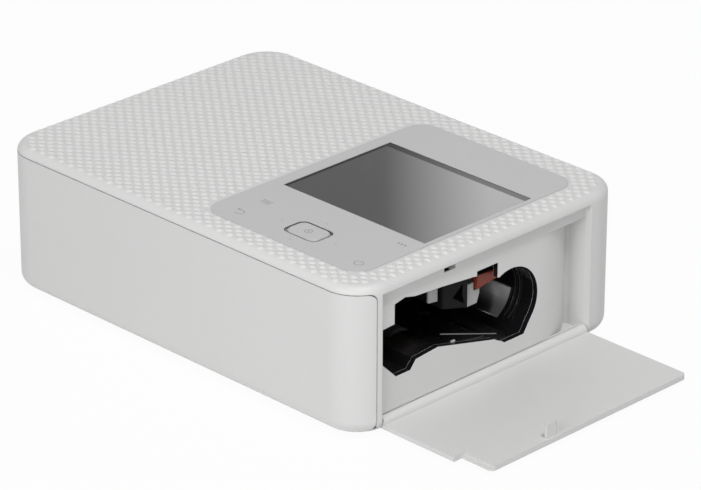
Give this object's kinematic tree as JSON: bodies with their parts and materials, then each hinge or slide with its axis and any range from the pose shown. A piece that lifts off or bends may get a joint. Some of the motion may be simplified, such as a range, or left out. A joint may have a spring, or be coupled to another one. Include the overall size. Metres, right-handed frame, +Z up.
{
  "type": "compact photo printer",
  "caption": "Compact white photo printer with a flip-down ink door, wide front paper cover, display panel with keys and a swinging thermal head over a rubber platen.",
  "frame": {"origin": "middle of the footprint, at the table surface; the base mount is 1.3 mm above it, on the moulded underside", "axes": "+X towards the ink door side, +Y from the front cover to the rear paper slot, +Z up"},
  "size_m": [0.2286, 0.133, 0.0576],
  "materials": {
    "white_shell": "fine matt white moulding",
    "panel_film": "smooth satin white",
    "display_glass": "glossy dark window",
    "inner_white": "plain white moulding",
    "bay_black": "glossy black moulding",
    "dark_plastic": "dark grey moulding",
    "steel": "plated sheet steel",
    "screw_steel": "zinc plated",
    "aluminium": "extruded",
    "ceramic": "glazed",
    "rubber": "matt",
    "gear_plastic": "natural acetal",
    "brass": "machined",
    "spindle_plastic": "grey moulding",
    "lever_brown": "brown-orange moulding",
    "board_green": "lacquered circuit board",
    "switch_black": "moulded"
  },
  "bodies": {
    "printer_body": {"base_cover": "white_shell", "base_screws": "screw_steel", "bushes": "gear_plastic", "card_and_data_sockets": "steel", "chassis_screws": "screw_steel", "control_panel": "panel_film", "display_module": "dark_plastic", "display_window": "display_glass", "feed_motor": "steel", "feet": "rubber", "front_frame": "inner_white", "front_paper_guide": "inner_white", "head_motor": "steel", "housing": "white_shell", "ink_bay_liner": "bay_black", "key_board": "board_green", "key_switches": "switch_black", "left_side_plate": "steel", "lever_spring": "steel", "main_board": "board_green", "motor_bracket": "steel", "power_board": "board_green", "power_socket": "bay_black", "rear_paper_guide": "inner_white", "ribbon_motor": "steel", "right_side_plate": "steel", "upper_paper_guide": "dark_plastic"},
    "ink_door": {"ink_door": "white_shell"},
    "front_cover": {"front_cover": "white_shell"},
    "ok_key": {"ok_key": "panel_film"},
    "menu_key": {"menu_key": "inner_white"},
    "back_key": {"back_key": "inner_white"},
    "info_key": {"info_key": "inner_white"},
    "power_key": {"power_key": "inner_white"},
    "up_key": {"up_key": "inner_white"},
    "down_key": {"down_key": "inner_white"},
    "left_key": {"left_key": "inner_white"},
    "right_key": {"right_key": "inner_white"},
    "lock_lever": {"lock_lever": "lever_brown"},
    "print_head": {"head_arm": "steel", "head_shaft": "steel", "head_springs": "steel", "heat_sink": "aluminium", "thermal_head": "ceramic", "head_end_cover": "dark_plastic", "head_sector": "gear_plastic"},
    "head_motor_pinion": {"head_motor_pinion": "brass"},
    "capstan": {"capstan_roller": "steel", "capstan_gear": "gear_plastic"},
    "pinch_roller": {"pinch_roller": "steel"},
    "platen": {"platen_shaft": "steel", "platen_sleeve": "rubber"},
    "pickup": {"pickup_shaft": "gear_plastic", "pickup_tyres": "rubber"},
    "idler_gear": {"idler_gear": "gear_plastic"},
    "feed_motor_pinion": {"feed_motor_pinion": "brass"},
    "takeup": {"takeup_spindle": "spindle_plastic", "takeup_gear": "gear_plastic"},
    "ribbon_motor_pinion": {"ribbon_motor_pinion": "brass"},
    "supply_spindle": {"supply_spindle": "spindle_plastic"}
  },
  "joints": [
    {"name": "ink_door_hinge", "type": "hinge", "parent": "printer_body", "child": "ink_door", "pos_m": [0.089, 0, 0.00435], "axis": [0, -1, 0], "range_deg": [0, 90]},
    {"name": "front_cover_hinge", "type": "hinge", "parent": "printer_body", "child": "front_cover", "pos_m": [0, -0.0615, 0.0063], "axis": [1, 0, 0], "range_deg": [0, 90]},
    {"name": "ok_key_press", "type": "slide", "parent": "printer_body", "child": "ok_key", "axis": [0, 0, -1], "range_m": [0, 0.0004], "stiffness_N_per_m": 1500},
    {"name": "menu_key_press", "type": "slide", "parent": "printer_body", "child": "menu_key", "axis": [0, 0, -1], "range_m": [0, 0.0003], "stiffness_N_per_m": 1500},
    {"name": "back_key_press", "type": "slide", "parent": "printer_body", "child": "back_key", "axis": [0, 0, -1], "range_m": [0, 0.0003], "stiffness_N_per_m": 1500},
    {"name": "info_key_press", "type": "slide", "parent": "printer_body", "child": "info_key", "axis": [0, 0, -1], "range_m": [0, 0.0003], "stiffness_N_per_m": 1500},
    {"name": "power_key_press", "type": "slide", "parent": "printer_body", "child": "power_key", "axis": [0, 0, -1], "range_m": [0, 0.0003], "stiffness_N_per_m": 1500},
    {"name": "up_key_press", "type": "slide", "parent": "printer_body", "child": "up_key", "axis": [0, 0, -1], "range_m": [0, 0.0003], "stiffness_N_per_m": 1500},
    {"name": "down_key_press", "type": "slide", "parent": "printer_body", "child": "down_key", "axis": [0, 0, -1], "range_m": [0, 0.0003], "stiffness_N_per_m": 1500},
    {"name": "left_key_press", "type": "slide", "parent": "printer_body", "child": "left_key", "axis": [0, 0, -1], "range_m": [0, 0.0003], "stiffness_N_per_m": 1500},
    {"name": "right_key_press", "type": "slide", "parent": "printer_body", "child": "right_key", "axis": [0, 0, -1], "range_m": [0, 0.0003], "stiffness_N_per_m": 1500},
    {"name": "lock_lever_slide", "type": "slide", "parent": "printer_body", "child": "lock_lever", "axis": [0, 0, 1], "range_m": [0, 0.0035]},
    {"name": "head_swing", "type": "hinge", "parent": "printer_body", "child": "print_head", "pos_m": [0, 0.016, 0.0485], "axis": [1, 0, 0], "range_deg": [0, 10.5]},
    {"name": "head_motor_spin", "type": "hinge", "parent": "printer_body", "child": "head_motor_pinion", "pos_m": [0, 0.03244, 0.04663], "axis": [1, 0, 0], "range_deg": [-60, 1]},
    {"name": "capstan_spin", "type": "hinge", "parent": "printer_body", "child": "capstan", "pos_m": [0, -0.0095, 0.011], "axis": [1, 0, 0], "continuous": true},
    {"name": "pinch_spin", "type": "hinge", "parent": "printer_body", "child": "pinch_roller", "pos_m": [0, -0.0095, 0.0158], "axis": [1, 0, 0], "continuous": true},
    {"name": "platen_spin", "type": "hinge", "parent": "printer_body", "child": "platen", "pos_m": [0, -0.0248, 0.0159], "axis": [1, 0, 0], "continuous": true},
    {"name": "pickup_spin", "type": "hinge", "parent": "printer_body", "child": "pickup", "pos_m": [0, -0.0405, 0.0137], "axis": [1, 0, 0], "continuous": true},
    {"name": "idler_spin", "type": "hinge", "parent": "printer_body", "child": "idler_gear", "pos_m": [0, -0.02504, 0.0148], "axis": [1, 0, 0], "continuous": true},
    {"name": "feed_motor_spin", "type": "hinge", "parent": "printer_body", "child": "feed_motor_pinion", "pos_m": [0, -0.0146, 0.02082], "axis": [1, 0, 0], "continuous": true},
    {"name": "takeup_spin", "type": "hinge", "parent": "printer_body", "child": "takeup", "pos_m": [0, 0.0115, 0.027], "axis": [1, 0, 0], "continuous": true},
    {"name": "ribbon_motor_spin", "type": "hinge", "parent": "printer_body", "child": "ribbon_motor_pinion", "pos_m": [0, 0.025, 0.034], "axis": [1, 0, 0], "continuous": true},
    {"name": "supply_spin", "type": "hinge", "parent": "printer_body", "child": "supply_spindle", "pos_m": [0, -0.0441, 0.0325], "axis": [1, 0, 0], "continuous": true}
  ],
  "couplings": [
    {"joint": "idler_spin", "follows": "capstan_spin", "ratio": -0.68421},
    {"joint": "pickup_spin", "follows": "capstan_spin", "ratio": 1.0833},
    {"joint": "feed_motor_spin", "follows": "capstan_spin", "ratio": 2.6},
    {"joint": "pinch_spin", "follows": "capstan_spin", "ratio": -2.2857},
    {"joint": "ribbon_motor_spin", "follows": "takeup_spin", "ratio": -4},
    {"joint": "head_motor_spin", "follows": "head_swing", "ratio": -5.6}
  ]
}
